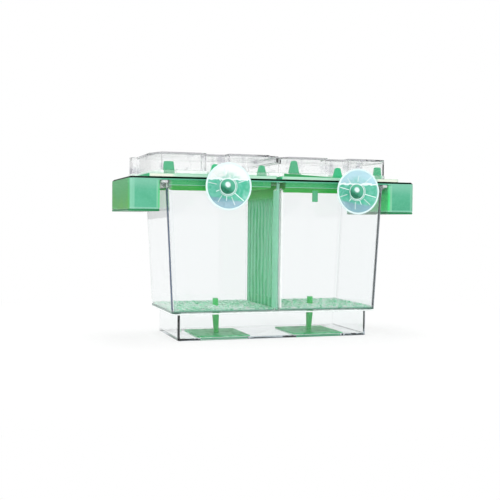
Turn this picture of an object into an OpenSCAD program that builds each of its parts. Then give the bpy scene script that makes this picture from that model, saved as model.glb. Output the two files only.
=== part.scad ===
// Floating fish breeding box: a clear two-room tank hung from a green float frame,
// with clear lids, lift-out perforated floors and two sump gates.
// Millimetres. Origin: middle of the tank's underside. +X right, +Y back, +Z up.

/* [Tank] */
// Length of the tank at its rim
rim_w = 160; // [150:1:165]
// Depth of the tank at its rim
rim_d = 71.6; // [68:0.2:74]
// Height of the rim above the underside
rim_z = 109; // [104:1:120]
// Length of the rooms at the ledge
ledge_w = 150; // [146:1:154]
// Depth of the rooms at the ledge
ledge_d = 69; // [67:0.5:70]
// Length of the sump
sump_w = 140; // [134:1:142]
// Depth of the sump
sump_d = 62; // [58:1:63]
// Height of the sump below the ledge
sump_h = 18; // [17.5:0.1:18.5]
// Wall thickness of the tank
wall = 1.8; // [1.5:0.1:2]
// Thickness of the sump floor
sump_floor = 1.6; // [1.4:0.1:1.8]

/* [Float frame] */
// Overall length over both floats
frame_w = 210; // [208:1:220]
// Overall depth of the frame
frame_d = 73; // [73:0.5:76]
// Thickness of the top flange
flange_t = 2.2; // [1.6:0.1:2.6]
// Underside of the floats above the tank's underside
float_z = 88; // [80:1:94]
// Wall thickness of the floats
float_wall = 1.6; // [1.2:0.1:2]
// Outer corner radius of the floats
float_r = 4.5; // [3:0.5:6]

/* [Lids] */
// Top of the left lid above the tank's underside
left_lid_z = 127.7; // [127.5:0.1:135]
// Top of the right lid above the tank's underside
right_lid_z = 127; // [126.8:0.1:135]
// Wall thickness of the lids
lid_wall = 1.4; // [1.2:0.1:1.5]
// Width of the notch in each lid's front
notch_w = 15.5; // [13:0.5:17]
// Depth of the notch in each lid's front
notch_depth = 9.5; // [6:0.5:12]

/* [Divider] */
// Thickness of the divider
divider_t = 2; // [1.6:0.1:2]
// Number of water slots across the divider
divider_slots = 9; // [4:1:9]

/* [Floors and gates] */
// Thickness of the perforated floors
floor_t = 1.9; // [1.6:0.1:2.2]
// Length of a sump gate
gate_w = 37; // [30:1:40]
// Depth of a sump gate
gate_d = 42; // [36:1:44]
// Left gate's distance left of the divider
left_gate_x = 36.3; // [34:0.1:38]
// Right gate's distance right of the divider
right_gate_x = 34.1; // [34:0.1:38]

/* [Suction cups] */
// Outer diameter of a suction cup
cup_dia = 32; // [26:1:34]
// Left cup's distance left of the divider
left_cup_x = 40; // [30:1:60]
// Right cup's distance right of the divider
right_cup_x = 54.5; // [30:0.5:60]
// Height of the left cup's middle
left_cup_z = 105; // [103:0.1:105]
// Height of the right cup's middle
right_cup_z = 103.4; // [103:0.1:105]

/* [Hidden] */
$fn = 48;
eps = 0.01;

clear_body = [0.86, 0.90, 0.92, 0.35];
clear_lid = [0.93, 0.95, 0.96, 0.35];
float_green = [0.37, 0.74, 0.60];
frame_green = [0.28, 0.67, 0.42];
divider_green = [0.43, 0.78, 0.61];
floor_mint = [0.67, 0.88, 0.80];
cup_clear = [0.80, 0.92, 0.95, 0.6];

// tank
ledge_top = sump_h + wall;
tank_r = 2.5;
rim_t = 2;
rim_lip_x = 3.7;
rim_lip_y = 0.5;
rim_haunch = 3.6;                             // slope that carries the rim at the tank's ends
rib_t = 1.2;                                  // guide ribs either side of the divider
rib_gap = divider_t + 0.5;
rib_reach = 30.9;
rib_top = rim_z - 4.5;

// float frame, which sits on the tank's rim
flange_top = rim_z + flange_t;
float_in = rim_w / 2 + rim_lip_x + 0.3;       // inner face of a float
float_inner_r = 2.5;
float_bevel = 1.3;                            // bevel round the frame's top edge
float_cover_t = 1.4;
skirt_t = 1.4;
skirt_w = rim_w - 2 * wall - 0.8;
skirt_d = rim_d - 2 * wall - 1;
skirt_z = rim_z - 3.5;
skirt_r = 2.5;
divider_gap = 10.8;                           // gap in the frame that the divider passes
lug_t = 1.6;
lug_w = 26;
lug_z = 95.6;
lug_r = 6;
left_lug_shift = 0.5;                         // from the peg to the middle of its lug
right_lug_shift = 3.5;
peg_r = 3.25;
peg_l = 6;

// inner frames, one over each room
inner_t = 2;
inner_top = flange_top + inner_t;
inner_near = 1.5;
inner_far = 92;
inner_edge = frame_d / 2 - 0.1;
inner_skirt_t = 1.2;
inner_skirt_x0 = 5.5;
inner_skirt_x1 = skirt_w / 2 - skirt_t - 0.4;
inner_skirt_y = skirt_d / 2 - skirt_t - 0.3;
inner_skirt_z = 104.5;
tab_y = 33;                                   // front face of the upright tabs
tab_t = 2;
// each tab: middle, width at its foot and at its top, height, corner radius
near_tab = [11.9, 7.4, 4.4, 7.3, 1.6];
tall_tab = [11.9, 9, 4.6, 11.3, 1.6];
mid_tab = [45.4, 7.4, 4.4, 7.3, 1.6];
left_outer_tab = [77.6, 8.2, 6.6, 8.4, 1];
right_outer_tab = [76.4, 6.4, 4.8, 8.4, 1];
web_w = 19.4;                                 // low web beside the right frame's tall tab
web_h = 2.6;
clip_w = 3.9;
clip_x = 28.4;
clip_z = 96;

// lids
lid_front = 35;
lid_inner = 0.3;
left_lid_ends = [83, 88.5];                   // reach of a lid's end at its front and behind
right_lid_ends = [80.5, 87];
lid_lip_x = 92;
lid_chamfer_y = 20;
lid_lip_y = 24;
lid_foot_h = 2.2;
lid_foot_out = 0.5;
lid_centre_rim = 5;                           // depth of the short rim where the lids meet
notch_x = 44.3;
dip_r = 7;                                    // thumb dip where the lids meet
dip_depth = 0.7;

// divider
divider_top = rim_z - 0.6;
divider_foot = ledge_d / 2 - wall - 0.3;
divider_head = rim_d / 2 - wall - 0.8;
slot_w = 2.2;
slot_pitch = 7;
slot_z0 = 28;
slot_z1 = 98;

// perforated floors
floor_near = 2.7;
floor_far = ledge_w / 2 - wall - 0.4;
floor_y = ledge_d / 2 - wall - 0.4;
floor_top = ledge_top + floor_t;
slit_x = 7.5;                                 // first slit's distance from the divider
slit_pitch = 11;
slit_row = 12;
slit_rows = 5;
slit_cols = 6;
slit_w = 3;
slit_l = 8;
slit_clear_x = 5;                             // no slit is nearer to a stem than this
slit_clear_y = 7;
stud_w = 2.4;                                 // low studs between the slits
stud_l = 4.4;
stud_h = 1;

// sump gates and their stems
gate_y = -7;
gate_flange_t = 0.8;
gate_lap = 1.2;
gate_fit = 0.3;
gate_lift = 0.2;                              // plug's underside above the tank's underside
gate_top = sump_floor + gate_flange_t;
stem_shift = 1;                               // from the gate's middle to the stem's, outwards
stem_d = 3;
stem_foot = [-2.05, 0.75];                    // the stem's inner and outer sides at its foot,
stem_head = [-2.4, 2.4];                      // at the shoulder that lifts the floor
stem_neck = [-1.55, 1.75];                    // and above it
stem_shoulder = ledge_top - 0.3;
stem_top = 27.2;
stem_bevel = 0.3;
stem_socket = 1.4;
stem_play = 0.3;                              // gap between a neck and its floor
socket_play = 0.05;

// suction cups
cup_r = cup_dia / 2;
cup_gap = 0.2;
cup_bore_r = peg_r + 0.05;
cup_neck_r = 6;
cup_len = 10;
cup_dish = 2.9;
cup_face = -frame_d / 2 - lug_t;              // the lugs' front face, where the cups start

module slab(x0, x1, y0, y1, z0, z1) {
  translate([x0, y0, z0]) cube([x1 - x0, y1 - y0, z1 - z0]);
}

// A block with four round upright edges
module round_slab(x0, x1, y0, y1, z0, z1, r) {
  slab(x0 + r, x1 - r, y0, y1, z0, z1);
  slab(x0, x1, y0 + r, y1 - r, z0, z1);
  for (x = [x0 + r, x1 - r], y = [y0 + r, y1 - r])
    translate([x, y, z0]) cylinder(h = z1 - z0, r = r);
}

// A block with a bevelled top edge and round upright edges
module bevelled_slab(w, d, z0, z1, r, bevel) {
  h = z1 - z0;
  x = w / 2;
  y = d / 2;
  translate([-x + r, 0, z0]) rotate([90, 0, 90]) linear_extrude(height = w - 2 * r)
    polygon([[-y, 0], [y, 0], [y, h - bevel], [y - bevel, h], [-y + bevel, h], [-y, h - bevel]]);
  translate([0, y - r, z0]) rotate([90, 0, 0]) linear_extrude(height = d - 2 * r)
    polygon([[-x, 0], [x, 0], [x, h - bevel], [x - bevel, h], [-x + bevel, h], [-x, h - bevel]]);
  for (i = [-1, 1], j = [-1, 1])
    translate([i * (x - r), j * (y - r), z0]) rotate_extrude()
      polygon([[0, 0], [r, 0], [r, h - bevel], [r - bevel, h], [0, h]]);
}

module mid_slab(w, d, z0, z1) {
  slab(-w / 2, w / 2, -d / 2, d / 2, z0, z1);
}

// A block with round upright edges that opens out towards its top
module flared_block(w0, d0, w1, d1, z0, z1, r) {
  translate([0, 0, z0])
    linear_extrude(height = z1 - z0, scale = [w1 / w0, d1 / d0], slices = 1)
      offset(r = r, $fn = 24) square([w0 - 2 * r, d0 - 2 * r], center = true);
}

// The left half's pieces are the right half's, mirrored
module on_side(side) {
  if (side < 0) mirror([1, 0, 0]) children();
  else children();
}

// ---------------------------------------------------------------- tank

module room_space(top) {
  flare = (rim_w - ledge_w) / (rim_z - sump_h);
  flare_d = (rim_d - ledge_d) / (rim_z - sump_h);
  rise = top - ledge_top;
  w0 = ledge_w - 2 * wall + flare * wall;
  d0 = ledge_d - 2 * wall + flare_d * wall;
  flared_block(w0, d0, w0 + flare * rise, d0 + flare_d * rise, ledge_top, top, tank_r - 1);
}

module gate_opening(x) {
  w = gate_w / 2 - gate_lap;
  d = gate_d / 2 - gate_lap;
  slab(x - w, x + w, gate_y - d, gate_y + d, -1, sump_floor + 1);
}

module rim_haunch(side) {
  x0 = rim_w / 2 - wall;
  x1 = rim_w / 2 + rim_lip_x;
  z1 = rim_z - rim_t + eps;
  on_side(side) translate([0, rim_d / 2 - 2 * tank_r, 0]) rotate([90, 0, 0])
    linear_extrude(height = rim_d - 4 * tank_r)
      polygon([[x0, z1 - rim_haunch - wall], [x0 + wall - 0.6, z1 - rim_haunch], [x1, z1], [x0, z1]]);
}

module divider_guides() {
  for (x = [-1, 1], y = [-1, 1])
    translate([x * (rib_gap + rib_t) / 2, y * (rib_reach + 34.2) / 2, (ledge_top + rib_top) / 2])
      cube([rib_t, 34.2 - rib_reach, rib_top - ledge_top + 2 * eps], center = true);
}

module tank() {
  color(clear_body) {
    difference() {
      union() {
        flared_block(ledge_w, ledge_d, rim_w, rim_d, sump_h, rim_z, tank_r);
        round_slab(-sump_w / 2, sump_w / 2, -sump_d / 2, sump_d / 2, 0, sump_h + 1, tank_r);
        round_slab(-rim_w / 2 - rim_lip_x, rim_w / 2 + rim_lip_x,
                   -rim_d / 2 - rim_lip_y, rim_d / 2 + rim_lip_y, rim_z - rim_t, rim_z, tank_r);
        for (side = [-1, 1]) rim_haunch(side);
      }
      room_space(rim_z + 1);
      mid_slab(sump_w - 2 * wall, sump_d - 2 * wall, sump_floor, ledge_top + 1);
      for (x = [-left_gate_x, right_gate_x]) gate_opening(x);
    }
    divider_guides();
  }
}

// ---------------------------------------------------------------- float frame

// Outline of one float, grown or shrunk by g
module float_block(z0, z1, g) {
  x0 = float_in - g;
  x1 = frame_w / 2 + g;
  y = frame_d / 2 + g;
  outer = float_r + g;
  inner = float_inner_r + g;
  slab(x0 + inner, x1 - outer, -y, y, z0, z1);
  slab(x0, x0 + inner, -y + inner, y - inner, z0, z1);
  slab(x1 - outer, x1, -y + outer, y - outer, z0, z1);
  for (j = [-1, 1]) {
    translate([x0 + inner, j * (y - inner), z0]) cylinder(h = z1 - z0, r = inner);
    translate([x1 - outer, j * (y - outer), z0]) cylinder(h = z1 - z0, r = outer);
  }
}

module float_shell(side) {
  z0 = float_z + float_cover_t;
  on_side(side) difference() {
    float_block(z0, flange_top - float_bevel, 0);
    float_block(z0 - 1, rim_z, -float_wall);
  }
}

// Tongue hanging from the frame's front edge, with a peg at x and z for a suction cup
module cup_lug(middle, x, z) {
  w = lug_w / 2;
  translate([middle, -frame_d / 2 + eps, 0]) rotate([90, 0, 0]) {
    translate([-w, lug_z + lug_r, 0]) cube([lug_w, flange_top - float_bevel - lug_z - lug_r, lug_t]);
    translate([-w + lug_r, lug_z, 0]) cube([lug_w - 2 * lug_r, lug_r + eps, lug_t]);
    for (s = [-1, 1]) translate([s * (w - lug_r), lug_z + lug_r, 0]) cylinder(h = lug_t, r = lug_r);
    translate([x - middle, z, 0]) cylinder(h = lug_t + peg_l, r = peg_r);
  }
}

module float_frame() {
  color(frame_green) {
    difference() {
      union() {
        bevelled_slab(frame_w, frame_d, rim_z, flange_top, float_r, float_bevel);
        round_slab(-skirt_w / 2, skirt_w / 2, -skirt_d / 2, skirt_d / 2,
                   skirt_z, flange_top - 1, skirt_r);
      }
      mid_slab(skirt_w - 2 * skirt_t, skirt_d - 2 * skirt_t, skirt_z - 1, flange_top + 1);
      mid_slab(divider_gap, rim_d - 2 * wall, skirt_z - 1, flange_top + 1);
    }
    for (side = [-1, 1]) float_shell(side);
    cup_lug(-left_cup_x + left_lug_shift, -left_cup_x, left_cup_z);
    cup_lug(right_cup_x + right_lug_shift, right_cup_x, right_cup_z);
  }
}

// Plate that closes a float from below, with a rim that centres it
module float_cover(side) {
  seat = float_z + float_cover_t;
  in = float_wall + 1.3;
  on_side(side) {
    float_block(float_z, seat, 0);
    difference() {
      float_block(seat - eps, seat + 3, -float_wall - 0.1);
      slab(float_in + in, frame_w / 2 - in, -frame_d / 2 + in, frame_d / 2 - in, seat, seat + 4);
    }
  }
}

module left_float_cover() {
  color(float_green) float_cover(-1);
}

module right_float_cover() {
  color(float_green) float_cover(1);
}

// ---------------------------------------------------------------- inner frames

// Upright tab with a narrower round-cornered top, standing on the frame's front
module upright_tab(tab) {
  foot = tab[1] / 2;
  top = tab[2] / 2;
  h = tab[3];
  r = tab[4];
  translate([tab[0], -tab_y + tab_t, inner_top - eps]) rotate([90, 0, 0]) linear_extrude(height = tab_t)
    union() {
      polygon([[-foot, 0], [foot, 0], [top, h - r], [top - r, h], [-top + r, h], [-top, h - r]]);
      for (s = [-1, 1]) translate([s * (top - r), h - r]) circle(r = r);
    }
}

// centre_rise lifts the front lip towards the middle of the box
module inner_frame(side, first_tab, outer_tab, centre_rise) {
  on_side(side) {
    difference() {
      union() {
        round_slab(inner_near, inner_far, -inner_edge, inner_edge, flange_top, inner_top, 2);
        slab(inner_skirt_x0, inner_skirt_x1, -inner_skirt_y, inner_skirt_y,
             inner_skirt_z, flange_top + 1);
        slab(clip_x - clip_w / 2, clip_x + clip_w / 2, -inner_skirt_y - 0.2,
             -inner_skirt_y + inner_skirt_t, clip_z, inner_skirt_z + 3.5);
      }
      slab(inner_skirt_x0 + inner_skirt_t, inner_skirt_x1 - inner_skirt_t,
           -inner_skirt_y + inner_skirt_t, inner_skirt_y - inner_skirt_t,
           inner_skirt_z - 1, inner_top + 1);
    }
    for (tab = [first_tab, mid_tab, outer_tab]) upright_tab(tab);
    if (centre_rise > 0) {
      web_x = first_tab[0] + first_tab[1] / 2 - 1;
      translate([0, -inner_edge + 0.7, 0]) rotate([90, 0, 0]) linear_extrude(height = 0.7)
        polygon([[inner_near + 2, inner_top - 1], [inner_near + 2, inner_top + centre_rise],
                 [mid_tab[0], inner_top], [mid_tab[0], inner_top - 1]]);
      translate([0, -tab_y + tab_t, 0]) rotate([90, 0, 0]) linear_extrude(height = tab_t)
        polygon([[web_x, inner_top - eps], [web_x, inner_top + web_h],
                 [web_x + web_w, inner_top + web_h / 2], [web_x + web_w, inner_top - eps]]);
    }
  }
}

module left_inner_frame() {
  color(frame_green) inner_frame(-1, near_tab, left_outer_tab, 0);
}

module right_inner_frame() {
  color(frame_green) inner_frame(1, tall_tab, right_outer_tab, 2);
}

// ---------------------------------------------------------------- lids

// Plan of one lid, grown or shrunk by g; the edge where the lids meet stays put
function lid_outline(ends, g) =
  let (n0 = notch_x - notch_w / 2 + g, n1 = notch_x + notch_w / 2 - g, y = lid_front + g)
  [[lid_inner, -y], [n0, -y], [n0, -y + notch_depth], [n1, -y + notch_depth], [n1, -y],
   [ends[0] + g / 2, -y], [ends[1] + g, -lid_chamfer_y - g / 4],
   [ends[1] + g, lid_lip_y - g], [lid_lip_x + g, lid_lip_y - g], [lid_lip_x + g, y],
   [lid_inner, y]];

module lid(side, top, ends) {
  on_side(side) difference() {
    union() {
      translate([0, 0, inner_top]) linear_extrude(height = top - inner_top)
        polygon(lid_outline(ends, 0));
      translate([0, 0, inner_top]) linear_extrude(height = lid_foot_h)
        polygon(lid_outline(ends, lid_foot_out));
    }
    difference() {
      translate([0, 0, inner_top - 1]) linear_extrude(height = top - inner_top - lid_wall + 1)
        polygon(lid_outline(ends, -lid_wall));
      slab(0, lid_inner + lid_wall, -lid_front, lid_front, top - lid_centre_rim, top);
    }
    translate([0, -lid_front, top - dip_depth]) cylinder(h = 2, r = dip_r);
  }
}

module left_lid() {
  color(clear_lid) lid(-1, left_lid_z, left_lid_ends);
}

module right_lid() {
  color(clear_lid) lid(1, right_lid_z, right_lid_ends);
}

// ---------------------------------------------------------------- divider

module divider() {
  color(divider_green) difference() {
    translate([-divider_t / 2, 0, 0]) rotate([90, 0, 90]) linear_extrude(height = divider_t)
      polygon([[-divider_foot, ledge_top + 0.05], [divider_foot, ledge_top + 0.05],
               [divider_head, divider_top], [-divider_head, divider_top]]);
    for (i = [0 : divider_slots - 1])
      slab(-divider_t, divider_t, slot_y(i) - slot_w / 2, slot_y(i) + slot_w / 2, slot_z0, slot_z1);
  }
}

function slot_y(i) = (i - (divider_slots - 1) / 2) * slot_pitch;

// ---------------------------------------------------------------- floors

// Round-ended slit with its length towards the back
module floor_slit(x, y) {
  half = (slit_l - slit_w) / 2;
  translate([x, y, ledge_top - 1]) {
    translate([-slit_w / 2, -half, 0]) cube([slit_w, 2 * half, floor_t + 3]);
    for (s = [-half, half]) translate([0, s, 0]) cylinder(h = floor_t + 3, d = slit_w, $fn = 24);
  }
}

// Low stud with sloping sides
module floor_stud(x, y) {
  translate([x, y + stud_l / 2, floor_top - eps]) rotate([90, 0, 0]) linear_extrude(height = stud_l)
    polygon([[-stud_w / 2, 0], [stud_w / 2, 0], [stud_w / 3, stud_h], [-stud_w / 3, stud_h]]);
}

module floor_plate(side, stem_x) {
  slot_d = stem_d / 2 + stem_play;
  on_side(side) difference() {
    union() {
      slab(floor_near, floor_far, -floor_y, floor_y, ledge_top, floor_top);
      for (j = [0 : slit_rows - 1], i = [0 : slit_cols - 1])
        floor_stud(slit_x + (i + (1 - j % 2) / 2) * slit_pitch, row_y(j));
    }
    for (j = [0 : slit_rows - 1], i = [0 : slit_cols - 1]) {
      x = slit_x + (i + (j % 2) / 2) * slit_pitch;
      if (abs(x - stem_x) > slit_clear_x || abs(row_y(j) - gate_y) > slit_clear_y)
        floor_slit(x, row_y(j));
    }
    slab(stem_x + stem_neck[0] - stem_play, stem_x + stem_neck[1] + stem_play,
         gate_y - slot_d, gate_y + slot_d, ledge_top - 1, floor_top + 2);
  }
}

function row_y(j) = -2 + (j - (slit_rows - 1) / 2) * slit_row;

module left_floor() {
  color(floor_mint) floor_plate(-1, left_gate_x + stem_shift);
}

module right_floor() {
  color(floor_mint) floor_plate(1, right_gate_x + stem_shift);
}

// ---------------------------------------------------------------- gates

module gate(side, x) {
  plug_w = gate_w / 2 - gate_lap - gate_fit;
  plug_d = gate_d / 2 - gate_lap - gate_fit;
  socket_d = stem_d / 2 + socket_play;
  on_side(side) translate([x, gate_y, 0]) difference() {
    union() {
      mid_slab(2 * plug_w, 2 * plug_d, gate_lift, sump_floor + eps);
      mid_slab(gate_w, gate_d, sump_floor, gate_top);
    }
    translate([stem_shift, 0, 0])
      slab(stem_foot[0] - socket_play, stem_foot[1] + socket_play, -socket_d, socket_d,
           gate_top - stem_socket, gate_top + 1);
  }
}

// Flat stem that widens from its foot to a shoulder under the floor, with a narrower neck above
module gate_stem(side, x) {
  foot = gate_top - stem_socket + socket_play;
  neck_top = stem_top - stem_bevel;
  on_side(side) translate([x + stem_shift, gate_y + stem_d / 2, 0]) rotate([90, 0, 0])
    linear_extrude(height = stem_d)
      polygon([[stem_foot[0], foot], [stem_foot[1], foot], [stem_foot[1], gate_top],
               [stem_head[1], stem_shoulder], [stem_neck[1], stem_shoulder], [stem_neck[1], neck_top],
               [stem_neck[1] - stem_bevel, stem_top], [stem_neck[0] + stem_bevel, stem_top],
               [stem_neck[0], neck_top], [stem_neck[0], stem_shoulder], [stem_head[0], stem_shoulder],
               [stem_foot[0], gate_top]]);
}

module left_gate() {
  color(divider_green) gate(-1, left_gate_x);
}

module right_gate() {
  color(divider_green) gate(1, right_gate_x);
}

module left_gate_stem() {
  color(frame_green) gate_stem(-1, left_gate_x);
}

module right_gate_stem() {
  color(frame_green) gate_stem(1, right_gate_x);
}

// ---------------------------------------------------------------- suction cups

// Hollow face of the dish at radius r, measured from the lug
function dish_face(r) = cup_len - cup_dish * (1 - pow(r / (cup_r - 0.9), 2));

module suction_cup(x, z) {
  steps = 6;
  lip = cup_r - 0.9;
  front = [for (i = [steps : -1 : 0]) [lip * i / steps, dish_face(lip * i / steps)]];
  back = [for (i = [0 : steps]) let (r = cup_neck_r + (cup_r - cup_neck_r) * i / steps)
            [r, dish_face(r) - 2.6 + 1.2 * i / steps]];
  translate([x, cup_face, z]) rotate([90, 0, 0]) rotate_extrude($fn = 96)
    polygon(concat([[cup_bore_r, cup_gap], [cup_neck_r, cup_gap]], back, [[cup_r, cup_len]], front,
                   [[0, peg_l + 0.3], [cup_bore_r, peg_l + 0.3]]));
}

module left_suction_cup() {
  color(cup_clear) suction_cup(-left_cup_x, left_cup_z);
}

module right_suction_cup() {
  color(cup_clear) suction_cup(right_cup_x, right_cup_z);
}

tank();
float_frame();
left_float_cover();
right_float_cover();
left_inner_frame();
right_inner_frame();
left_lid();
right_lid();
divider();
left_floor();
right_floor();
left_gate();
right_gate();
left_gate_stem();
right_gate_stem();
left_suction_cup();
right_suction_cup();
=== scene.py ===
import math

import bmesh
import bpy
from mathutils import Matrix, Vector


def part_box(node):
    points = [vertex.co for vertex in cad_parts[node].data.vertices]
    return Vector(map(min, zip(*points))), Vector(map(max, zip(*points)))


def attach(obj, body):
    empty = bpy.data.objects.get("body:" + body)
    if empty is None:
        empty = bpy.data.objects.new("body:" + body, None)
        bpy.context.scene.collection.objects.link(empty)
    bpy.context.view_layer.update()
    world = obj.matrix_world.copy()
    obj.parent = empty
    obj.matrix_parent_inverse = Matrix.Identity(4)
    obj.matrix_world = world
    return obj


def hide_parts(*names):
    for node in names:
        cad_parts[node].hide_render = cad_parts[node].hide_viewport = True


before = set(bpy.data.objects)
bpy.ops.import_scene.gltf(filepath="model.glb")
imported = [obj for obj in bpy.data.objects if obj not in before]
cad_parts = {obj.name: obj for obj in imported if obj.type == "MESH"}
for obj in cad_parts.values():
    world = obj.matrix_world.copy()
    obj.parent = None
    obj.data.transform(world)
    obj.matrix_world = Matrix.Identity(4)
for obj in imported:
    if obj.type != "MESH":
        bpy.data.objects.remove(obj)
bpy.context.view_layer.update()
scene = bpy.context.scene
scene.view_settings.view_transform = "Standard"
mm = 0.001
print("frame loaded")


class Wire:
    # one socket of a node tree, with arithmetic that adds Math nodes
    def __init__(self, tree, socket=None):
        self.tree = tree
        self.socket = socket

    def node(self, kind, settings=None, inputs=None, out=0):
        made = self.tree.nodes.new(kind)
        for name, setting in (settings or {}).items():
            setattr(made, name, setting)
        for name, value in (inputs or {}).items():
            if isinstance(value, Wire):
                self.tree.links.new(value.socket, made.inputs[name])
            else:
                made.inputs[name].default_value = value
        return Wire(self.tree, made.outputs[out])

    def math(self, operation, *values):
        return self.node("ShaderNodeMath", {"operation": operation}, dict(enumerate(values)))

    def __add__(self, other):
        return self.math("ADD", self, other)

    def __radd__(self, other):
        return self.math("ADD", other, self)

    def __sub__(self, other):
        return self.math("SUBTRACT", self, other)

    def __rsub__(self, other):
        return self.math("SUBTRACT", other, self)

    def __mul__(self, other):
        return self.math("MULTIPLY", self, other)

    def __rmul__(self, other):
        return self.math("MULTIPLY", other, self)

    def __pow__(self, other):
        return self.math("POWER", self, other)

    def __abs__(self):
        return self.math("ABSOLUTE", self)

    # 0 below low, 1 above high, and a smooth rise between them
    def step(self, low, high):
        return self.node("ShaderNodeMapRange", {"interpolation_type": "SMOOTHSTEP"},
                         {"Value": self, "From Min": low, "From Max": high})

    # the higher of two values
    def highest(self, other):
        return self.math("MAXIMUM", self, other)

    # yes where factor is 1, no where it is 0
    def choose(self, factor, yes, no):
        return self.node("ShaderNodeMix", {"data_type": "FLOAT"}, {0: factor, 2: no, 3: yes})

    # 1 between low and high, fading over soft on both sides
    def band(self, low, high, soft):
        return self.step(low - soft, low) * (1 - self.step(high, high + soft))

    def noise(self, scale, detail, distortion=0.0):
        return self.node("ShaderNodeTexNoise", {}, {
            "Vector": self, "Scale": scale, "Detail": detail, "Distortion": distortion})

    def mix(self, factor, first, second):
        return self.node("ShaderNodeMix", {"data_type": "RGBA"}, {0: factor, 6: first, 7: second}, out=2)

    # a relief whose height is in millimetres
    def bump(self):
        return self.node("ShaderNodeBump", {}, {"Height": self, "Strength": 1.0, "Distance": mm})

    # two shaders, mixed
    def blend(self, factor, first, second):
        return self.node("ShaderNodeMixShader", {}, {0: factor, 1: first, 2: second})


def colour(red, green, blue):
    # a colour given as it looks on a screen, 0 to 255
    def linear(value):
        value = value / 255
        return value / 12.92 if value <= 0.04045 else ((value + 0.055) / 1.055) ** 2.4
    return (linear(red), linear(green), linear(blue), 1)


def newMaterial(name):
    material = bpy.data.materials.new(name)
    material.use_nodes = True
    material.node_tree.nodes.clear()
    return material, Wire(material.node_tree)


def finishMaterial(start, surface, volume=None):
    end = start.tree.nodes.new("ShaderNodeOutputMaterial")
    start.tree.links.new(surface.socket, end.inputs["Surface"])
    if volume:
        start.tree.links.new(volume.socket, end.inputs["Volume"])


# position in the object's own frame, in millimetres: the point, and its x, y and z
def position(start):
    point = start.node("ShaderNodeTexCoord", out="Object")
    point = start.node("ShaderNodeVectorMath", {"operation": "SCALE"}, {0: point, "Scale": 1 / mm})
    x, y, z = [start.node("ShaderNodeSeparateXYZ", {}, {0: point}, out=axis) for axis in range(3)]
    return point, x, y, z


# the point with each of its axes stretched, for a pattern that is longer one way
def stretched(start, x, y, z, scales):
    return start.node("ShaderNodeCombineXYZ", {}, {
        0: x * scales[0], 1: y * scales[1], 2: z * scales[2]})


# what the light path node says of a ray
def rays(start, *kinds):
    return [start.node("ShaderNodeLightPath", out=kind) for kind in kinds]


# milky places laid over a base tone: the tone that results, and how milky it is
def milky(start, marks, base):
    tone = base
    share = start.math("MULTIPLY", 0, 0)    # a share of 0 to begin with
    for mask, colourHere, amount in marks:
        tone = start.mix(mask, tone, colourHere)
        share = share.highest(mask * amount)
    return tone, share


# what both clear mouldings share: noise scales are per millimetre, depths in millimetres
clearSkin = {
    "scratchScale": 0.9,
    "scratchDetail": 6.0,
    "scratchSwirl": 1.5,
    "scratchDepth": 0.002,
    "scratched": (0.55, 0.8),
    "cloudScale": 0.35,
    "rough": 0.02,
    "hazeRough": 0.3,
    "shadow": (0.97, 0.985, 0.98, 1),
}


# polished plastic: clear across the wall, milky along its thick places, darker along its edges; some of the
# milky marks are painted highlight and painted shade
def clearMoulding(name, look):
    material, start = newMaterial(name)
    point, x, y, z = position(start)
    waves = point.noise(look["waveScale"], 1.0)
    scratches = point.noise(clearSkin["scratchScale"], clearSkin["scratchDetail"], clearSkin["scratchSwirl"])
    cloud = point.noise(clearSkin["cloudScale"], 3.0)
    rough = scratches.step(*clearSkin["scratched"]) * look["scratchRough"] + clearSkin["rough"]
    relief = (waves * look["waveDepth"] + scratches * clearSkin["scratchDepth"]).bump()
    tone, share = milky(start, look["milk"](point, x, y, z), look["haze"])
    glass = start.node("ShaderNodeBsdfPrincipled", {}, {
        "Base Color": look["tint"], "Roughness": rough, "IOR": look["ior"], "Transmission Weight": 1.0,
        "Normal": relief})
    haze = start.node("ShaderNodeBsdfPrincipled", {}, {
        "Base Color": tone, "Roughness": clearSkin["hazeRough"], "Normal": relief})
    share = (share * (0.8 + 0.4 * cloud)).highest(look["hazeShare"])
    lamps = start.node("ShaderNodeBsdfTransparent", {}, {"Color": clearSkin["shadow"]})
    isShadow = rays(start, "Is Shadow Ray")[0]
    depth = start.node("ShaderNodeVolumeAbsorption", {}, {"Color": look["edge"], "Density": look["density"]})
    finishMaterial(start, start.blend(isShadow, start.blend(share, glass, haze), lamps), depth)
    return material


# what all green mouldings share
greenSkin = {
    "flowScale": 0.045,
    "flowSwirl": 0.8,
    "flowDepth": 0.05,
    "skinScale": 1.6,
    "roughRise": 0.12,
    "ior": 1.46,
    "lineRough": 0.5,
    "lineShine": 0.03,
}


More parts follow.
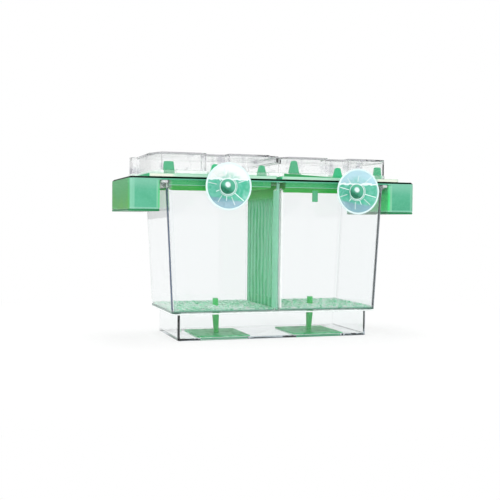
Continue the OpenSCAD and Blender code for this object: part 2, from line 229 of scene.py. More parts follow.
# glossy moulding with a faint flow pattern and a fine skin, a share of which lets coloured light through
def greenMoulding(name, look):
    material, start = newMaterial(name)
    point, x, y, z = position(start)
    flow = point.noise(greenSkin["flowScale"], 3.0, greenSkin["flowSwirl"])
    skin = point.noise(greenSkin["skinScale"], 3.0)
    tone = start.mix(flow.step(0.3, 0.7), look["deep"], look["pale"])
    for mask, colourHere in look["tones"](point, x, y, z):
        tone = start.mix(mask, tone, colourHere)
    rough = look["rough"] + greenSkin["roughRise"] * skin.step(0.35, 0.8)
    relief = skin * look["skinDepth"] + flow * greenSkin["flowDepth"]
    if "ripple" in look:
        relief = relief + look["ripple"](point, x, y, z)
    body = start.node("ShaderNodeBsdfPrincipled", {}, {
        "Base Color": tone, "Roughness": rough, "IOR": greenSkin["ior"], "Specular IOR Level": look["shine"],
        "Normal": relief.bump()})
    through = start.node("ShaderNodeBsdfTranslucent", {}, {"Color": look["through"]})
    share = look["share"]
    if "solid" in look:
        share = share * (1 - look["solid"](x, y, z))
    surface = start.blend(share, body, through)
    # where the look gives a line, a painted dark line standing in for shade is laid over the moulding
    if "line" in look:
        dark = start.node("ShaderNodeBsdfPrincipled", {}, {
            "Base Color": look["lineShadeTone"], "Roughness": greenSkin["lineRough"],
            "Specular IOR Level": greenSkin["lineShine"]})
        surface = start.blend(look["line"](x, y, z), surface, dark)
    finishMaterial(start, surface)
    return material


cameraSettings = {
    "place": (-0.2070, -0.6079, 0.08194),
    "yaw": 18.019,
    "pitch": -1.885,
    "roll": 0.540,
    "lens": 63.02,
    "sensor": 36.0,
}


def makeCamera(settings):
    yaw = math.radians(settings["yaw"])
    pitch = math.radians(settings["pitch"])
    roll = math.radians(settings["roll"])
    ahead = Vector((math.sin(yaw) * math.cos(pitch), math.cos(yaw) * math.cos(pitch), math.sin(pitch)))
    level = Vector((math.cos(yaw), -math.sin(yaw), 0))
    above = level.cross(ahead)
    right = level * math.cos(roll) + above * math.sin(roll)
    up = above * math.cos(roll) - level * math.sin(roll)
    data = bpy.data.cameras.new("camera")
    data.sensor_fit = "HORIZONTAL"
    data.sensor_width = settings["sensor"]
    data.lens = settings["lens"]
    data.clip_start = 0.01
    data.clip_end = 100
    camera = bpy.data.objects.new("camera", data)
    turn = Matrix((right, up, -ahead)).transposed().to_4x4()
    camera.matrix_world = Matrix.Translation(settings["place"]) @ turn
    scene.collection.objects.link(camera)
    scene.camera = camera


studioSettings = {
    "skyLight": 0.74,
    # strength of the studio in reflections, level with the object and above it, and the height at which
    # one goes over into the other, 1 being straight up
    "reflected": 0.26,
    "reflectedSky": 0.9,
    "skyline": (0.08, 0.3),
    # strength of the studio overhead, as seen through clear plastic
    "overheadSeen": 0.94,
    "overhead": (0.45, 0.9),
    "floorRadius": 4.0,
    # how much of the floor's shadow is shown, and where it fades out, in millimetres from the middle
    "shadowShare": 0.25,
    "shadowReach": (130, 330),
    # what the lamps point at; only the lamps that shine are seen in reflections
    "lookAt": (0, 0, 0.07),
    "lamps": [
        {"name": "keyLamp", "place": (-0.75, -1.0, 1.1), "width": 0.7, "height": 0.7, "power": 2.6,
         "shines": True},
        {"name": "leftStrip", "place": (-1.25, -0.35, 0.25), "width": 0.16, "height": 1.0, "power": 3.0,
         "shines": True},
        {"name": "frontFill", "place": (-0.35, -1.6, 0.12), "width": 1.1, "height": 0.5, "power": 5.2,
         "shines": False},
        {"name": "topLamp", "place": (0.05, 0.15, 1.3), "width": 0.5, "height": 0.5, "power": 5.0,
         "shines": False},
        {"name": "rightLamp", "place": (1.1, -0.5, 0.5), "width": 0.6, "height": 0.6, "power": 1.2,
         "shines": True},
        {"name": "backLamp", "place": (0.1, 1.1, 0.9), "width": 0.8, "height": 0.8, "power": 1.4,
         "shines": True},
    ],
}


def makeStudio(settings):
    world = bpy.data.worlds.new("studio")
    scene.world = world
    world.use_nodes = True
    world.node_tree.nodes.clear()
    start = Wire(world.node_tree)
    direction = start.node("ShaderNodeTexCoord", out="Generated")
    height = start.node("ShaderNodeSeparateXYZ", {}, {0: direction}, out=2)
    overhead = height.step(*settings["overhead"])
    throughPlastic = 1 - overhead * (1 - settings["overheadSeen"])
    toCamera, isGlossy, isThrough, depth = rays(
        start, "Is Camera Ray", "Is Glossy Ray", "Is Transmission Ray", "Diffuse Depth")
    lights = depth.step(0, 1)
    isSky = height.step(*settings["skyline"])
    mirrored = start.choose(isSky, settings["reflectedSky"], settings["reflected"])
    strength = start.choose(isGlossy, mirrored, settings["skyLight"])
    strength = start.choose(isThrough, throughPlastic, strength)
    strength = start.choose(lights, settings["skyLight"], strength)
    strength = start.choose(toCamera, 1.0, strength)
    light = start.node("ShaderNodeBackground", {}, {"Color": (1, 1, 1, 1), "Strength": strength})
    end = world.node_tree.nodes.new("ShaderNodeOutputWorld")
    world.node_tree.links.new(light.socket, end.inputs["Surface"])

    for lamp in settings["lamps"]:
        data = bpy.data.lights.new(lamp["name"], "AREA")
        data.shape = "RECTANGLE"
        data.size = lamp["width"]
        data.size_y = lamp["height"]
        data.energy = lamp["power"]
        shown = bpy.data.objects.new(lamp["name"], data)
        shown.location = lamp["place"]
        shown.visible_transmission = False
        shown.visible_glossy = lamp["shines"]
        aim = Vector(settings["lookAt"]) - Vector(lamp["place"])
        shown.rotation_euler = aim.to_track_quat("-Z", "Y").to_euler()
        scene.collection.objects.link(shown)


def makeFloor(settings):
    mesh = bpy.data.meshes.new("studioFloor")
    work = bmesh.new()
    bmesh.ops.create_circle(work, cap_ends=True, segments=96, radius=settings["floorRadius"])
    work.to_mesh(mesh)
    work.free()
    floor = bpy.data.objects.new("studioFloor", mesh)
    scene.collection.objects.link(floor)
    material, start = newMaterial("studioFloor")
    point, x, y, z = position(start)
    away = ((x * x + y * y) ** 0.5).step(*settings["shadowReach"])
    grain = point.noise(0.4, 4.0)
    paper = start.mix(grain, colour(249, 249, 249), colour(253, 253, 253))
    matt = start.node("ShaderNodeBsdfDiffuse", {}, {"Color": paper})
    white = start.node("ShaderNodeEmission", {}, {"Color": (1, 1, 1, 1), "Strength": 1.0})
    toCamera, isGlossy, isThrough = rays(start, "Is Camera Ray", "Is Glossy Ray", "Is Transmission Ray")
    seen = toCamera.highest(isGlossy).highest(isThrough)
    lit = start.blend(1 - settings["shadowShare"] * (1 - away), matt, white)
    finishMaterial(start, start.blend(seen, matt, lit))
    mesh.materials.append(material)


makeCamera(cameraSettings)
makeStudio(studioSettings)
makeFloor(studioSettings)
print("camera, studio and floor made")


def putIn(name, mesh, material, node, body):
    piece = bpy.data.objects.new(name, mesh)
    scene.collection.objects.link(piece)
    mesh.materials.clear()
    mesh.materials.append(material)
    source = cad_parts[node]
    source.data.materials.clear()
    source.data.materials.append(material)
    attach(piece, body)
    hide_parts(node)
    return piece


sharpAngle = math.radians(30)    # edges that turn by more are rounded
flatAngle = math.radians(0.5)    # faces that meet at less are merged
weldReach = 2e-5                 # metres between points that are merged


# a moulding with its edges rounded; inset leaves a hair of air between clear walls and what they touch
def softened(name, node, body, material, edge, inset):
    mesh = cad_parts[node].data.copy()
    work = bmesh.new()
    work.from_mesh(mesh)
    bmesh.ops.remove_doubles(work, verts=work.verts, dist=weldReach)
    bmesh.ops.dissolve_limit(work, angle_limit=flatAngle, verts=work.verts, edges=work.edges, delimit=set())
    bmesh.ops.connect_verts_concave(work, faces=work.faces)
    bmesh.ops.recalc_face_normals(work, faces=work.faces)
    # inner edges of the float frame's body stay sharp, because rounding them would throw up spikes
    weight = work.edges.layers.float.new("bevel_weight_edge")
    for side in work.edges:
        rounded = side.is_convex or body != "frame"
        side[weight] = float(rounded and side.calc_face_angle(0) > sharpAngle)
    work.to_mesh(mesh)
    work.free()
    if "custom_normal" in mesh.attributes:
        mesh.attributes.remove(mesh.attributes["custom_normal"])
    mesh.shade_smooth()
    mesh.set_sharp_from_angle(angle=sharpAngle)
    piece = putIn(name, mesh, material, node, body)
    rounding = piece.modifiers.new("rounding", "BEVEL")
    rounding.width = edge * mm
    rounding.segments = 2
    rounding.limit_method = "WEIGHT"
    rounding.use_clamp_overlap = False
    rounding.miter_outer = "MITER_ARC"
    flat = piece.modifiers.new("flatFaces", "WEIGHTED_NORMAL")
    flat.weight = 100
    flat.keep_sharp = True
    if inset:
        gap = piece.modifiers.new("hairGap", "DISPLACE")
        gap.mid_level = 0
        gap.strength = -inset * mm


# In the settings below, places are in millimetres from the middle of the tank's underside. A pair is where
# a change starts and where it is complete.


tankSettings = {
    "tint": (0.98, 0.99, 0.99, 1), "ior": 1.36, "scratchRough": 0.05,
    "waveScale": 0.03, "waveDepth": 0.06, "haze": colour(235, 242, 244), "hazeShare": 0.01,
    "edge": (0.05, 0.22, 0.32, 1), "density": 12.0,
    "leanX": 0.055,         # how far an end wall leans out for each millimetre of height
    "leanY": 0.015,
    "ledge": 17.8,
    "pastSumpX": (70.6, 71.4),
    "pastSumpY": (31.4, 32.2),
    # the strips beside each upright corner: on the front or back wall, and on the end wall; they carry
    # painted grey-blue shade standing in for dark refraction
    "frontStrip": ((70.8, 71.6), (33.4, 33.8)),
    "endStrip": ((74.0, 74.4), (32.0, 32.6)),
    "cornerFrom": (20, 22),
    "cornerShadeTone": colour(110, 128, 156), "cornerShare": 0.6,
    "guideWidth": (3.8, 4.2),
    "guideFront": (-31, -30),
    "guideHeight": (22, 103),
    "guideWhite": ((1.3, 1.7), (2.8, 3.0)),
    "leftGuideTone": colour(140, 216, 180), "leftGuideShare": 0.5,
    "rightGuideHighlight": colour(253, 255, 254), "rightGuideShare": 0.6,
    "darkLedge": (19.1, 20.2), "darkLedgeShadow": colour(56, 112, 92), "darkLedgeShare": 0.6,
    "paleLedge": (17.6, 18.5), "paleLedgeHighlight": colour(250, 254, 253), "paleLedgeShare": 0.9,
    "scallopScale": 0.5, "scallopRise": 0.9,
    "haunchFrom": (78.4, 79.2), "haunchHeight": (103.0, 104.5),
    "haunchHighlight": colour(255, 255, 255), "haunchShare": 0.25,
}


def tankMilk(point, x, y, z):
    places = tankSettings
    rise = z - places["ledge"]
    sideways = abs(x) - rise * places["leanX"]
    frontways = abs(y) - rise * places["leanY"]
    outside = frontways.step(*places["pastSumpY"]).highest(sideways.step(*places["pastSumpX"]))
    scallop = point.noise(places["scallopScale"], 2.0) * places["scallopRise"]
    frontX, frontY = places["frontStrip"]
    endX, endY = places["endStrip"]
    frontStrip = 0.25 * sideways.step(*frontX) * frontways.step(*frontY)
    endStrip = sideways.step(*endX) * frontways.step(*endY)
    corner = frontStrip.highest(endStrip) * (1 - 0.7 * y.step(-1, 1))
    acrossGuide = (1 - abs(x).step(*places["guideWidth"])) * (1 - y.step(*places["guideFront"]))
    guide = acrossGuide * z.band(*places["guideHeight"], 1)
    whiteFrom, whiteTo = places["guideWhite"]
    haunch = abs(x).step(*places["haunchFrom"]) * z.step(*places["haunchHeight"])
    paleLow, paleHigh = places["paleLedge"]
    return [
        # painted shade: grey-blue along the upright corners
        (corner * z.step(*places["cornerFrom"]), places["cornerShadeTone"], places["cornerShare"]),
        (guide * (1 - x.step(-1, 0)), places["leftGuideTone"], places["leftGuideShare"]),
        # painted highlight: a white line on the right guide rib
        (guide * x.step(*whiteFrom) * (1 - x.step(*whiteTo)), places["rightGuideHighlight"],
         places["rightGuideShare"]),
        # painted shadow: a dark band above the ledge
        (z.band(*places["darkLedge"], 0.15) * outside, places["darkLedgeShadow"], places["darkLedgeShare"]),
        # painted highlight: a scalloped white line along the ledge
        (z.band(paleLow, paleHigh + scallop, 0.15) * outside, places["paleLedgeHighlight"],
         places["paleLedgeShare"]),
        # painted highlight: white at the top corners of the end walls
        (haunch, places["haunchHighlight"], places["haunchShare"]),
    ]


lidSettings = {
    "tint": (0.985, 0.99, 0.99, 1), "ior": 1.3, "scratchRough": 0.06,
    "waveScale": 0.05, "waveDepth": 0.1, "haze": colour(250, 252, 252), "hazeShare": 0.02,
    "edge": (0.2, 0.22, 0.26, 1), "density": 10.0,
    "patchScale": 0.09, "patchHeight": (116.5, 126),
    "patchReflectionTone": colour(158, 152, 172), "patchShare": 0.24,
    "footHeight": (115.3, 115.7), "footTone": colour(253, 255, 254), "footShare": 0.92,
    "tabs": ((11.9, 4.3), (45.4, 3.8), (77.2, 4.2)),    # the middle and half width of each tab behind a lid
    "tabFront": (-30, -28),
}


def lidMilk(point, x, y, z):
    places = lidSettings
    # painted reflection: grey-violet patches in the lid's walls and top
    darkReflections = point.noise(places["patchScale"], 3.0).step(0.53, 0.66) * z.band(*places["patchHeight"], 1.5)
    foot = 1 - z.step(*places["footHeight"])
    front = 1 - y.step(*places["tabFront"])
    for middle, half in places["tabs"]:
        beforeTab = (1 - abs(abs(x) - middle).step(half, half + 0.4)) * front
        foot = foot * (1 - 0.85 * beforeTab)
        darkReflections = darkReflections * (1 - beforeTab)
    return [
        (darkReflections, places["patchReflectionTone"], places["patchShare"]),
        (foot, places["footTone"], places["footShare"]),
    ]


frameSettings = {
    "deep": colour(86, 180, 142), "pale": colour(100, 192, 156), "rough": 0.22, "skinDepth": 0.015,
    "shine": 0.4, "through": colour(64, 205, 132), "share": 0.12, "lineShadeTone": colour(0, 14, 5),
    "lineHeight": (109.95, 111.05),
    "floatFrom": (83, 83.6),
    "behindTongues": (-34.5, -34),
    "skirt": (108.6, 109.2), "skirtLitTone": colour(60, 226, 130),
    "skirtFoot": (105.6, 106.3), "skirtFootHighlight": colour(176, 250, 216),
    "under": (108.6, 109.0),
    "innerWall": (85.0, 85.3), "innerWallLitTone": colour(90, 248, 146),
    "innerBand": (85.3, 86.4), "innerBandHighlight": colour(150, 222, 182),
    "outerBand": (101.6, 103.8), "outerBandHighlight": colour(156, 218, 190),
    "floatTop": (100, 109), "floatTopLitTone": colour(150, 214, 190),
    "floatFoot": (90.3, 90.9), "floatFootHighlight": colour(160, 220, 195),
    "end": (103.8, 104.8), "endReflectionTone": colour(92, 186, 104),
    "endLow": (90, 108), "endLowReflectionTone": colour(106, 190, 84), "endPatchScale": 0.06,
}


def frameTones(point, x, y, z):
    places = frameSettings
    onFloat = abs(x).step(*places["floatFrom"])
    skirt = (1 - onFloat) * y.step(*places["behindTongues"])
    under = 1 - z.step(*places["under"])
    innerWall = onFloat * (1 - abs(x).step(*places["innerWall"]))
    end = abs(x).step(*places["end"])
    patch = point.noise(places["endPatchScale"], 2.0).step(0.25, 0.7)
    return [
        # painted light: the skirt under the flange is brightened to make up for its shade
        ((1 - z.step(*places["skirt"])) * skirt, places["skirtLitTone"]),
        # painted highlight along the skirt's lower lip
        ((1 - z.step(*places["skirtFoot"])) * skirt, places["skirtFootHighlight"]),
        # painted light: the floats' inner walls are brightened to make up for their shade in the narrow gap
        (under * innerWall, places["innerWallLitTone"]),
        # painted highlight on the floats' rounded outer corners
        (abs(x).band(*places["outerBand"], 0.6) * 0.5, places["outerBandHighlight"]),
        # painted highlight on the floats' rounded inner corners
        (under * abs(x).band(*places["innerBand"], 0.3) * 0.7, places["innerBandHighlight"]),
        # painted light: the floats are lighter towards their tops
        (z.step(*places["floatTop"]) * onFloat * 0.55, places["floatTopLitTone"]),
        # painted highlight along the floats' lower edge
        ((1 - z.step(*places["floatFoot"])) * onFloat * 0.6, places["floatFootHighlight"]),
        # painted reflection: the end faces are yellower green, with a stronger yellow-green patch low down
        (end * 0.7, places["endReflectionTone"]),
        (end * (1 - z.step(*places["endLow"])) * patch * 0.8, places["endLowReflectionTone"]),
    ]


# 1 on the painted dark line round the flange, standing in for the shade and dark reflection along its top
# edge
def frameShadeLine(x, y, z):
    return z.band(*frameSettings["lineHeight"], 0.06)


# the float covers are painted a darker green than the frame: painted shade on the floats' undersides
coverSettings = {
    "deep": colour(30, 128, 78), "pale": colour(44, 142, 90), "rough": 0.25, "skinDepth": 0.015,
    "shine": 0.4, "through": colour(60, 180, 110), "share": 0.1,
}


def coverTones(point, x, y, z):
    return []


innerSettings = {
    "deep": colour(70, 196, 138), "pale": colour(84, 208, 152), "rough": 0.28, "skinDepth": 0.015,
    "shine": 0.25, "through": colour(56, 215, 112), "share": 0.1,
    "skirt": (109.0, 109.5), "skirtLitTone": colour(62, 210, 82),
    "clip": (103.8, 104.2), "clipTone": colour(100, 214, 156),
    "edge": (35.9, 36.1), "edgeHeight": (111.0, 113.0), "edgeTone": colour(190, 232, 208),
    "edgeEnd": (73, 77), "edgeEndLitTone": colour(240, 246, 230),
    "rim": (113.1, 113.3), "rimTone": colour(60, 160, 96),
}


def innerTones(point, x, y, z):
    places = innerSettings
    edge = abs(y).step(*places["edge"])
    edgeBand = z.band(*places["edgeHeight"], 0.15)
    return [
        # painted light: the skirt is brightened to make up for the shade it sits in
        (1 - z.step(*places["skirt"]), places["skirtLitTone"]),
        (1 - z.step(*places["clip"]), places["clipTone"]),
        # painted light: a pale band along the lit front edge, whiter towards its ends
        (edge * edgeBand, places["edgeTone"]),
        (edge * abs(x).step(*places["edgeEnd"]) * edgeBand, places["edgeEndLitTone"]),
        (edge * z.step(*places["rim"]), places["rimTone"]),
    ]


dividerSettings = {
    "deep": colour(58, 196, 126), "pale": colour(70, 204, 138), "rough": 0.32, "skinDepth": 0.01,
    "shine": 0.12, "through": colour(96, 225, 146), "share": 0.25,
    "ripplePitch": 8, "rippleDrift": 9, "rippleTop": (90, 95), "rippleDepth": 0.2,
    "crest": (-0.8, 1.0), "crestLitTone": colour(158, 240, 204),
    "slotWall": (0.7, 0.95), "slotReach": (31.5, 32.0), "slotLitTone": colour(190, 250, 226),
    "top": (94, 101), "topShadeTone": colour(0, 190, 36),
    "solidTop": (94, 103),
    "frontEdge": (-31.6, -31.2), "frontEdgeTone": colour(160, 232, 204),
}


# waves that run up and down the plate, 1 on a crest and -1 between two, and flat near its top
def dividerWaves(point, x, y, z):
    places = dividerSettings
    drift = point.noise(0.035, 1.0, 0.6) * places["rippleDrift"]
    wave = y.math("SINE", (y + drift) * (2 * math.pi / places["ripplePitch"]))
    return wave * (1 - z.step(*places["rippleTop"]))


def dividerRipple(point, x, y, z):
    return dividerWaves(point, x, y, z) * dividerSettings["rippleDepth"]


def dividerTones(point, x, y, z):
    places = dividerSettings
    crest = dividerWaves(point, x, y, z).step(*places["crest"]) * 0.85
    inSlot = (1 - abs(x).step(*places["slotWall"])) * (1 - abs(y).step(*places["slotReach"]))
    return [
        # painted light: the ripple crests are lighter
        (crest, places["crestLitTone"]),
        # painted light: the slot walls are brightened against their shade
        (inSlot * 0.9, places["slotLitTone"]),
        # painted shade: a darker, saturated green at the top, under the frame
        (z.step(*places["top"]), places["topShadeTone"]),
        (1 - y.step(*places["frontEdge"]), places["frontEdgeTone"]),
    ]


# 1 where the plate lets no light through
def dividerSolid(x, y, z):
    return z.step(*dividerSettings["solidTop"])


floorSettings = {
    "deep": colour(178, 246, 212), "pale": colour(206, 254, 232), "rough": 0.42, "skinDepth": 0.12,
    "shine": 0.3, "through": colour(160, 238, 200), "share": 0.2,
    "grain": (0.4, 0.16, 0.4), "broadScale": 0.05,
    "broad": (0.42, 0.62), "broadTone": colour(226, 255, 244),
    "paleFleck": (0.5, 0.6), "paleFleckTone": colour(252, 255, 253),
    "darkFleck": (0.36, 0.46), "darkFleckTone": colour(96, 204, 150),
    "edgeTop": (20.2, 21.2), "edgeTone": colour(140, 216, 186),
}


def floorTones(point, x, y, z):
    places = floorSettings
    fleck = stretched(point, x, y, z, places["grain"]).noise(1.0, 4.0, 1.2)
    broad = point.noise(places["broadScale"], 2.0)
    return [
        (broad.step(*places["broad"]) * 0.5, places["broadTone"]),
        (fleck.step(*places["paleFleck"]) * 0.9, places["paleFleckTone"]),
        ((1 - fleck.step(*places["darkFleck"])) * 0.85, places["darkFleckTone"]),
        (1 - z.step(*places["edgeTop"]), places["edgeTone"]),
    ]


gateSettings = {
    "deep": colour(46, 206, 120), "pale": colour(72, 220, 140), "rough": 0.3, "skinDepth": 0.02,
    "shine": 0.2, "through": colour(76, 218, 134), "share": 0.12,
    "grain": (0.14, 0.07, 0.14),
    "paleStreak": (0.5, 0.58), "paleStreakTone": colour(146, 240, 190),
    "darkStreak": (0.4, 0.46), "darkStreakTone": colour(36, 170, 96),
    "edgeTop": (1.4, 1.7), "edgeTone": colour(124, 214, 172),
}


def gateTones(point, x, y, z):
    places = gateSettings
    streak = stretched(point, x, y, z, places["grain"]).noise(1.0, 4.0, 1.0)
    return [
        (streak.step(*places["paleStreak"]) * 0.7, places["paleStreakTone"]),
        ((1 - streak.step(*places["darkStreak"])) * 0.6, places["darkStreakTone"]),
        (1 - z.step(*places["edgeTop"]), places["edgeTone"]),
    ]


stemSettings = {
    "deep": colour(70, 210, 106), "pale": colour(84, 218, 122), "rough": 0.3, "skinDepth": 0.015,
    "shine": 0.2, "through": colour(60, 215, 96), "share": 0.12,
    "tip": (26.6, 27.0), "tipTone": colour(210, 240, 222),
}


def stemTones(point, x, y, z):
    return [(z.step(*stemSettings["tip"]), stemSettings["tipTone"])]


clearBody = clearMoulding("clearBody", dict(tankSettings, milk=tankMilk))
clearLid = clearMoulding("clearLid", dict(lidSettings, milk=lidMilk))
frameGreen = greenMoulding("frameGreen", dict(frameSettings, tones=frameTones, line=frameShadeLine))
coverShadeGreen = greenMoulding("coverShadeGreen", dict(coverSettings, tones=coverTones))
innerGreen = greenMoulding("innerGreen", dict(innerSettings, tones=innerTones))
dividerGreen = greenMoulding("dividerGreen", dict(
    dividerSettings, tones=dividerTones, ripple=dividerRipple, solid=dividerSolid))
floorMint = greenMoulding("floorMint", dict(floorSettings, tones=floorTones))
gateGreen = greenMoulding("gateGreen", dict(gateSettings, tones=gateTones))
stemGreen = greenMoulding("stemGreen", dict(stemSettings, tones=stemTones))
print("materials made")

# each piece: its node, body, material and slot, the rounding of its edges and its inset
pieces = [
    ("tankShell", "tank", "tank", clearBody, "clear_body", 0.35, 0.03),
    ("floatFrame", "float_frame", "frame", frameGreen, "frame_green", 0.35, 0.0),
    ("leftFloatCover", "left_float_cover", "frame", coverShadeGreen, "float_green", 0.35, 0.0),
    ("rightFloatCover", "right_float_cover", "frame", coverShadeGreen, "float_green", 0.35, 0.0),
    ("leftInnerFrame", "left_inner_frame", "left_inner_frame", innerGreen, "frame_green", 0.15, 0.0),
    ("rightInnerFrame", "right_inner_frame", "right_inner_frame", innerGreen, "frame_green", 0.15, 0.0),
    ("leftLid", "left_lid", "left_lid", clearLid, "clear_lid", 0.3, 0.03),
    ("rightLid", "right_lid", "right_lid", clearLid, "clear_lid", 0.3, 0.03),
    ("dividerPlate", "divider", "divider", dividerGreen, "divider_green", 0.3, 0.0),
    ("leftFloor", "left_floor", "left_floor", floorMint, "floor_mint", 0.2, 0.0),
    ("rightFloor", "right_floor", "right_floor", floorMint, "floor_mint", 0.2, 0.0),
    ("leftGate", "left_gate", "left_gate", gateGreen, "divider_green", 0.2, 0.0),
    ("rightGate", "right_gate", "right_gate", gateGreen, "divider_green", 0.2, 0.0),
    ("leftGateStem", "left_gate_stem", "left_gate", stemGreen, "frame_green", 0.2, 0.0),
    ("rightGateStem", "right_gate_stem", "right_gate", stemGreen, "frame_green", 0.2, 0.0),
]
for name, node, body, material, slot, edge, inset in pieces:
    softened(name, node, body, material, edge, inset)
print("mouldings made")


cupSettings = {
    "segments": 192,
    "dish": 2.9,            # depth of the hollow face
    "dishRadius": 15.1,
    "knob": 2.6,            # radius of the button in its middle
    "knobRise": 0.9,
    "neck": 6.0,
    "bore": 3.35,
    "boreDepth": 9.5,
    "boreEnd": 3.7,
    # the back from the lip in to the neck: radius and depth
    "back": [(13.6, 2.2), (12.4, 2.65), (11, 3.25), (9.5, 3.95), (8.2, 4.65), (7.2, 5.3), (6.5, 5.9),
             (6.1, 6.5)],
    "ribHeight": 0.4,
    # each rib on the back: its angle, and the radius that it reaches
    "ribs": [(-42, 14.0), (143, 13.8), (-97, 9.5), (-158, 9.0), (170, 14.0), (20, 14.0)],
}


# half of the cup's section: radius, and depth behind the plane of its lip
def cupSection(settings, radius):
    def dish(r):
        return settings["dish"] * (1 - (r / settings["dishRadius"]) ** 2)
    knob = settings["knob"]
    section = [(knob * math.sin(a), dish(knob) - settings["knobRise"] * math.cos(a))
               for a in (i * math.pi / 12 for i in range(7))]
    section += [(r, dish(r)) for r in (3.2, 4.2, 5.4, 7, 9, 11, 12.5, 13.8, 14.6, 15.1)]
    section += [(radius - 0.5, 0.0), (radius - 0.15, 0.1), (radius, 0.35), (radius - 0.1, 0.9)]
    neck = settings["neck"]
    back = len(section)
    section += [(radius - 0.6, 1.4), (radius - 1.2, 1.75)]
    section += settings["back"]
    section += [(neck, 7.2), (neck, 8.9), (neck - 0.15, 9.3), (neck - 0.6, 9.6)]
    bore = settings["bore"]
    deep = settings["boreDepth"]
    end = settings["boreEnd"]
    section += [(bore + 0.1, deep + 0.2), (bore, deep)]
    section += [(bore, end + 0.3), (bore - 0.3, end + 0.05), (0.0, end)]
    # the section, and the places in it where the ribs stand
    return section, range(back, back + 2 + len(settings["back"]))


# soft clear vinyl: milkier on the lip, the rings and the mould lines, with painted light making it white
# above a wandering seam, a painted highlight on the knob and painted shade in the lower well
def vinyl(name, look, middle, turn):
    material, start = newMaterial(name)
    point, x, y, z = position(start)
    across = x - middle[0]
    up = z - middle[1]
    radius = (across * across + up * up) ** 0.5
    skin = point.noise(look["skinScale"], 4.0)
    swirl = point.noise(look["swirlScale"], 3.0, 1.5)
    relief = (skin * look["skinDepth"] + swirl * look["swirlDepth"]).bump()
    seam = up + (swirl - 0.5) * look["wander"]
    high = seam.step(look["seam"], look["seam"] + 0.5)
    low = 1 - (seam + 0.15 * across).step(*look["footLine"])
    wellShade = 1 - (across * 0.5 + up).step(*look["wellShadeLine"])
    fromSpot = up - look["spotRise"]
    knobHighlight = 1 - ((across * across + fromSpot * fromSpot) ** 0.5).step(*look["knobHighlight"])
    inWell = 1 - radius.step(*look["wellEdge"])
    drifting = high * (1 - radius.step(*look["driftReach"])) * swirl.step(0.35, 0.6) * 0.6
    lowerRight = (across - up).step(*look["outerRingSide"])
    marks = [
        # painted light: white above the wandering seam, with a white band along the seam
        (high, look["high"], look["highLitShare"]),
        (drifting, look["pale"], 0.7),
        (seam.band(look["seam"], look["seam"] + 1.0, 0.2), look["ring"], 0.9),
        (inWell, look["well"], look["wellShare"]),
        # painted shade: the lower half of the well darkened
        (inWell * wellShade, look["shadedWell"], look["wellShare"]),
        (radius.band(*look["innerRing"], 0.15), look["ring"], look["ringShare"]),
        (radius.band(*look["outerRing"], 0.15) * lowerRight, look["ring"], 0.6),
        # painted highlight: a white spot on the knob
        (knobHighlight, look["ring"], 0.85),
    ]
    for angle, near, reach, share in look["lines"]:
        cosine = math.cos(math.radians(angle + turn))
        sine = math.sin(math.radians(angle + turn))
        along = across * cosine + up * sine
        beside = abs(up * cosine - across * sine)
        line = (1 - beside.step(*look["lineWidth"])) * along.band(near, reach, 0.3)
        marks.append((line, look["ring"], share))
    marks.append((radius.step(*look["lipEdge"]), look["lip"], look["lipShare"]))
    base = start.mix(low, start.mix(swirl.step(0.4, 0.6), look["body"], look["pale"]), look["foot"])
    tone, share = milky(start, marks, base)
    share = share.highest(look["share"] + 0.12 * skin)
    clear = start.node("ShaderNodeBsdfPrincipled", {}, {
        "Base Color": look["tint"], "Roughness": 0.05 + 0.06 * skin, "IOR": look["ior"],
        "Transmission Weight": 1.0, "Normal": relief})
    milk = start.node("ShaderNodeBsdfPrincipled", {}, {
        "Base Color": tone, "Roughness": look["milkRough"], "Normal": relief})
    lamps = start.node("ShaderNodeBsdfTransparent", {}, {"Color": look["shadow"]})
    isShadow = rays(start, "Is Shadow Ray")[0]
    finishMaterial(start, start.blend(isShadow, start.blend(share, clear, milk), lamps))
    return material


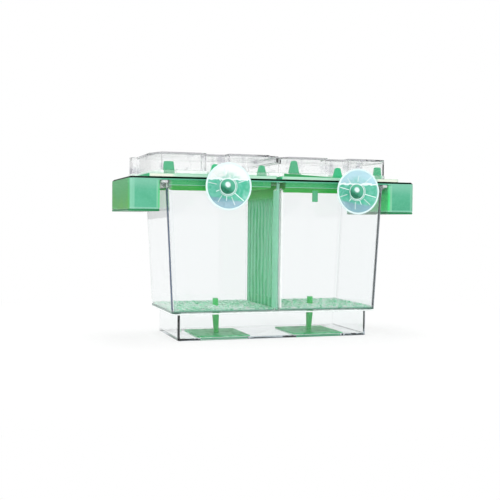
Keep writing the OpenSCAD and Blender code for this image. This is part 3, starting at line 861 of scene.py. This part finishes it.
def makeCup(name, node, body, settings, turn, look):
    low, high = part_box(node)
    middle = (low + high) / 2
    section, ribbed = cupSection(settings, (high.x - low.x) / 2 / mm)
    count = settings["segments"]
    ribs = {round((angle + turn) / 360 * count) % count: reach for angle, reach in settings["ribs"]}
    work = bmesh.new()
    rings = []
    for place, (r, t) in enumerate(section):
        ring = []
        for i in range(1 if r < 0.001 else count):
            angle = 2 * math.pi * i / count
            onRib = place in ribbed and r < ribs.get(i, 0)
            depth = t + (settings["ribHeight"] if onRib else 0)
            ring.append(work.verts.new((middle.x + r * mm * math.cos(angle), low.y + depth * mm,
                                        middle.z + r * mm * math.sin(angle))))
        rings.append(ring)
    for first, second in zip(rings, rings[1:]):
        for i in range(count):
            j = (i + 1) % count
            corners = [first[i % len(first)], first[j % len(first)], second[j % len(second)],
                       second[i % len(second)]]
            work.faces.new(list(dict.fromkeys(corners)))
    bmesh.ops.recalc_face_normals(work, faces=work.faces)
    mesh = bpy.data.meshes.new(name)
    work.to_mesh(mesh)
    work.free()
    mesh.shade_smooth()
    mesh.set_sharp_from_angle(angle=math.radians(50))
    material = vinyl(name, look, (middle.x / mm, middle.z / mm), turn)
    putIn(name, mesh, material, node, body)


# places here are in millimetres from the cup's middle
vinylLook = {
    "tint": (0.88, 0.975, 0.975, 1), "ior": 1.42, "milkRough": 0.25, "shadow": (0.9, 0.96, 0.97, 1),
    "skinScale": 0.6, "skinDepth": 0.04, "swirlScale": 0.16, "swirlDepth": 0.3,
    "body": colour(84, 200, 168), "pale": colour(124, 214, 190), "share": 0.5,
    "foot": colour(142, 184, 202), "footLine": (-9.5, -7.5),
    "seam": 4.6, "wander": 3, "high": colour(255, 255, 255), "highLitShare": 0.72, "driftReach": (7, 12),
    "ring": colour(240, 253, 253), "ringShare": 0.75,
    "innerRing": (5.25, 5.65), "outerRing": (6.15, 6.5), "outerRingSide": (-4, 2),
    "lip": colour(232, 252, 252), "lipShare": 0.88, "lipEdge": (14.5, 15.0),
    "well": colour(84, 184, 150), "shadedWell": colour(26, 124, 92), "wellShare": 0.75,
    "wellEdge": (4.9, 5.2), "wellShadeLine": (-3.5, 1), "knobHighlight": (1.3, 2.4), "spotRise": 1.3,
    # each mould line: its angle, where it starts and ends, and how milky it is
    "lineWidth": (0.16, 0.36),
    "lines": [(-42, 6.5, 14.0, 0.9), (143, 6.5, 13.8, 0.9), (-97, 6.5, 9.5, 0.8), (-158, 6.5, 9.0, 0.8),
              (170, 8.0, 14.2, 0.35), (20, 8.0, 14.0, 0.35), (60, 7.0, 11.0, 0.3), (105, 7.0, 12.0, 0.3),
              (-70, 7.5, 13.0, 0.25), (-125, 7.5, 12.5, 0.25)],
}
makeCup("leftCup", "left_suction_cup", "left_cup", cupSettings, 0, vinylLook)
makeCup("rightCup", "right_suction_cup", "right_cup", cupSettings, 26,
        dict(vinylLook, high=colour(190, 228, 240)))
print("suction cups made")

bpy.context.view_layer.update()
